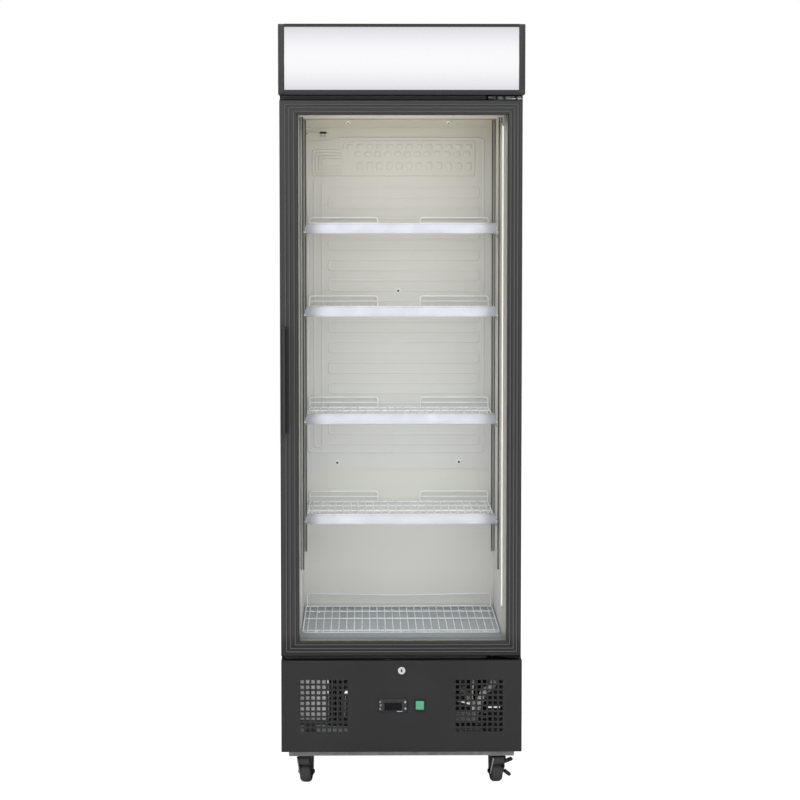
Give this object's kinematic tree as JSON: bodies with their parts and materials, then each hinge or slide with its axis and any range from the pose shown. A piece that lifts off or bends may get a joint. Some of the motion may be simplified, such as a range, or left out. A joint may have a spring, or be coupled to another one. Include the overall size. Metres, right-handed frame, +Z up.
{
  "type": "glass door merchandiser",
  "caption": "Upright display fridge with a hinged glass door, lit canopy, wire shelves with ticket strips, front grilles and swivel castors.",
  "frame": {"origin": "on the floor, centred on the width and on the overall depth", "axes": "+Z up, +X to the right as the user faces the door, -Y out of the door towards the user"},
  "size_m": [0.624, 0.6272, 1.9575],
  "materials": {
    "cabinet_paint": "charcoal powder coat, fine texture, semi matt",
    "foam": "rigid foam, closed cells",
    "liner_coat": "off white coated steel, satin",
    "galvanised_steel": "galvanised sheet, dull grey spangle",
    "zinc_plate": "bright zinc plate",
    "black_plastic": "moulded black plastic, fine grain",
    "key_plastic": "silver grey plastic",
    "switch_green": "translucent green, lit from behind",
    "compressor_paint": "black gloss enamel",
    "condenser_copper": "copper tube, dull",
    "evaporator_coat": "off white lacquer over roll bonded sheet",
    "standard_steel": "zinc plated strip",
    "wire_coat": "white plastic coated wire, satin",
    "strip_plastic": "white extruded plastic",
    "lamp_diffuser": "white diffuser, lit",
    "probe_plastic": "white plastic",
    "opal_panel": "opal sheet, lit from behind",
    "door_profile": "charcoal extruded profile, satin",
    "pane_glass": "clear float glass",
    "spacer_aluminium": "satin spacer bar",
    "gasket_rubber": "soft beige magnetic gasket",
    "wheel_rubber": "black solid rubber"
  },
  "bodies": {
    "cabinet": {"outer_wrap": "cabinet_paint", "insulation": "foam", "inner_liner": "liner_coat", "back_panel": "galvanised_steel", "base_pan": "galvanised_steel", "base_front_panel": "cabinet_paint", "rear_guard": "galvanised_steel", "lock_housing": "zinc_plate", "controller": "black_plastic", "switch_frame": "black_plastic", "compressor": "compressor_paint", "condenser": "condenser_copper", "fan_shroud": "black_plastic", "drip_tray": "black_plastic", "evaporator_plate": "evaporator_coat", "shelf_standard_front_left": "standard_steel", "shelf_standard_front_right": "standard_steel", "shelf_standard_rear_left": "standard_steel", "shelf_standard_rear_right": "standard_steel", "interior_lamp": "lamp_diffuser", "sensor_probe": "probe_plastic", "canopy_housing": "cabinet_paint", "canopy_cheek_left": "black_plastic", "canopy_cheek_right": "black_plastic", "canopy_panel": "opal_panel", "canopy_lamp": "lamp_diffuser", "hinge_top": "zinc_plate", "hinge_bottom": "zinc_plate"},
    "door": {"door_rail_top": "door_profile", "door_rail_bottom": "door_profile", "door_stile_handle": "door_profile", "door_stile_hinge": "door_profile", "glass_outer": "pane_glass", "glass_spacer": "spacer_aluminium", "glass_inner": "pane_glass", "door_gasket": "gasket_rubber", "door_handle": "black_plastic"},
    "shelf_1": {"shelf_1": "wire_coat", "ticket_strip_1": "strip_plastic"},
    "shelf_2": {"shelf_2": "wire_coat", "ticket_strip_2": "strip_plastic"},
    "shelf_3": {"shelf_3": "wire_coat", "ticket_strip_3": "strip_plastic"},
    "shelf_4": {"shelf_4": "wire_coat", "ticket_strip_4": "strip_plastic"},
    "bottom_rack": {"bottom_rack": "wire_coat"},
    "lock_barrel": {"lock_barrel": "zinc_plate"},
    "controller_key_up": {"controller_key_up": "key_plastic"},
    "controller_key_down": {"controller_key_down": "key_plastic"},
    "switch_rocker": {"switch_rocker": "switch_green"},
    "condenser_fan": {"condenser_fan": "black_plastic"},
    "castor_fork_front_left": {"castor_fork_front_left": "zinc_plate"},
    "castor_fork_front_right": {"castor_fork_front_right": "zinc_plate"},
    "castor_fork_rear_left": {"castor_fork_rear_left": "zinc_plate"},
    "castor_fork_rear_right": {"castor_fork_rear_right": "zinc_plate"},
    "castor_wheel_front_left": {"castor_wheel_front_left": "wheel_rubber"},
    "castor_wheel_front_right": {"castor_wheel_front_right": "wheel_rubber"},
    "castor_wheel_rear_left": {"castor_wheel_rear_left": "wheel_rubber"},
    "castor_wheel_rear_right": {"castor_wheel_rear_right": "wheel_rubber"},
    "brake_lever": {"brake_lever": "black_plastic"}
  },
  "joints": [
    {"name": "door_hinge", "type": "hinge", "parent": "cabinet", "child": "door", "pos_m": [0.296, -0.2656, 1.0557], "axis": [0, 0, 1], "range_deg": [0, 110]},
    {"name": "shelf_1_lift", "type": "slide", "parent": "cabinet", "child": "shelf_1", "axis": [0, 0, 1], "range_m": [0, 0.015]},
    {"name": "shelf_2_lift", "type": "slide", "parent": "cabinet", "child": "shelf_2", "axis": [0, 0, 1], "range_m": [0, 0.015]},
    {"name": "shelf_3_lift", "type": "slide", "parent": "cabinet", "child": "shelf_3", "axis": [0, 0, 1], "range_m": [0, 0.015]},
    {"name": "shelf_4_lift", "type": "slide", "parent": "cabinet", "child": "shelf_4", "axis": [0, 0, 1], "range_m": [0, 0.015]},
    {"name": "bottom_rack_lift", "type": "slide", "parent": "cabinet", "child": "bottom_rack", "axis": [0, 0, 1], "range_m": [0, 0.015]},
    {"name": "lock_turn", "type": "hinge", "parent": "cabinet", "child": "lock_barrel", "pos_m": [0, -0.277, 0.30597], "axis": [0, 1, 0], "range_deg": [0, 90]},
    {"name": "key_up_press", "type": "slide", "parent": "cabinet", "child": "controller_key_up", "axis": [0, 1, 0], "range_m": [0, 0.0008], "stiffness_N_per_m": 900},
    {"name": "key_down_press", "type": "slide", "parent": "cabinet", "child": "controller_key_down", "axis": [0, 1, 0], "range_m": [0, 0.0008], "stiffness_N_per_m": 900},
    {"name": "switch_rock", "type": "hinge", "parent": "cabinet", "child": "switch_rocker", "pos_m": [0.047, -0.2824, 0.21597], "axis": [-1, 0, 0], "range_deg": [0, 10]},
    {"name": "fan_spin", "type": "hinge", "parent": "cabinet", "child": "condenser_fan", "pos_m": [-0.065, -0.1273, 0.19197], "axis": [0, 1, 0], "continuous": true},
    {"name": "castor_swivel_front_left", "type": "hinge", "parent": "cabinet", "child": "castor_fork_front_left", "pos_m": [-0.25, -0.2296, 0.0789], "axis": [0, 0, 1], "continuous": true},
    {"name": "castor_swivel_front_right", "type": "hinge", "parent": "cabinet", "child": "castor_fork_front_right", "pos_m": [0.25, -0.2296, 0.0789], "axis": [0, 0, 1], "continuous": true},
    {"name": "castor_swivel_rear_left", "type": "hinge", "parent": "cabinet", "child": "castor_fork_rear_left", "pos_m": [-0.25, 0.2544, 0.0789], "axis": [0, 0, 1], "continuous": true},
    {"name": "castor_swivel_rear_right", "type": "hinge", "parent": "cabinet", "child": "castor_fork_rear_right", "pos_m": [0.25, 0.2544, 0.0789], "axis": [0, 0, 1], "continuous": true},
    {"name": "castor_roll_front_left", "type": "hinge", "parent": "castor_fork_front_left", "child": "castor_wheel_front_left", "pos_m": [-0.24687, -0.20985, 0.02827], "axis": [0.9877, -0.1564, 0], "continuous": true},
    {"name": "castor_roll_front_right", "type": "hinge", "parent": "castor_fork_front_right", "child": "castor_wheel_front_right", "pos_m": [0.24687, -0.20985, 0.02827], "axis": [0.9877, 0.1564, 0], "continuous": true},
    {"name": "castor_roll_rear_left", "type": "hinge", "parent": "castor_fork_rear_left", "child": "castor_wheel_rear_left", "pos_m": [-0.25209, 0.27429, 0.02827], "axis": [0.9945, 0.1045, 0], "continuous": true},
    {"name": "castor_roll_rear_right", "type": "hinge", "parent": "castor_fork_rear_right", "child": "castor_wheel_rear_right", "pos_m": [0.25484, 0.27381, 0.02827], "axis": [0.9703, -0.2419, 0], "continuous": true},
    {"name": "brake_press", "type": "hinge", "parent": "castor_fork_front_right", "child": "brake_lever", "pos_m": [0.2663, -0.2107, 0.0403], "axis": [0.9877, 0.1564, 0], "range_deg": [0, 15]}
  ]
}
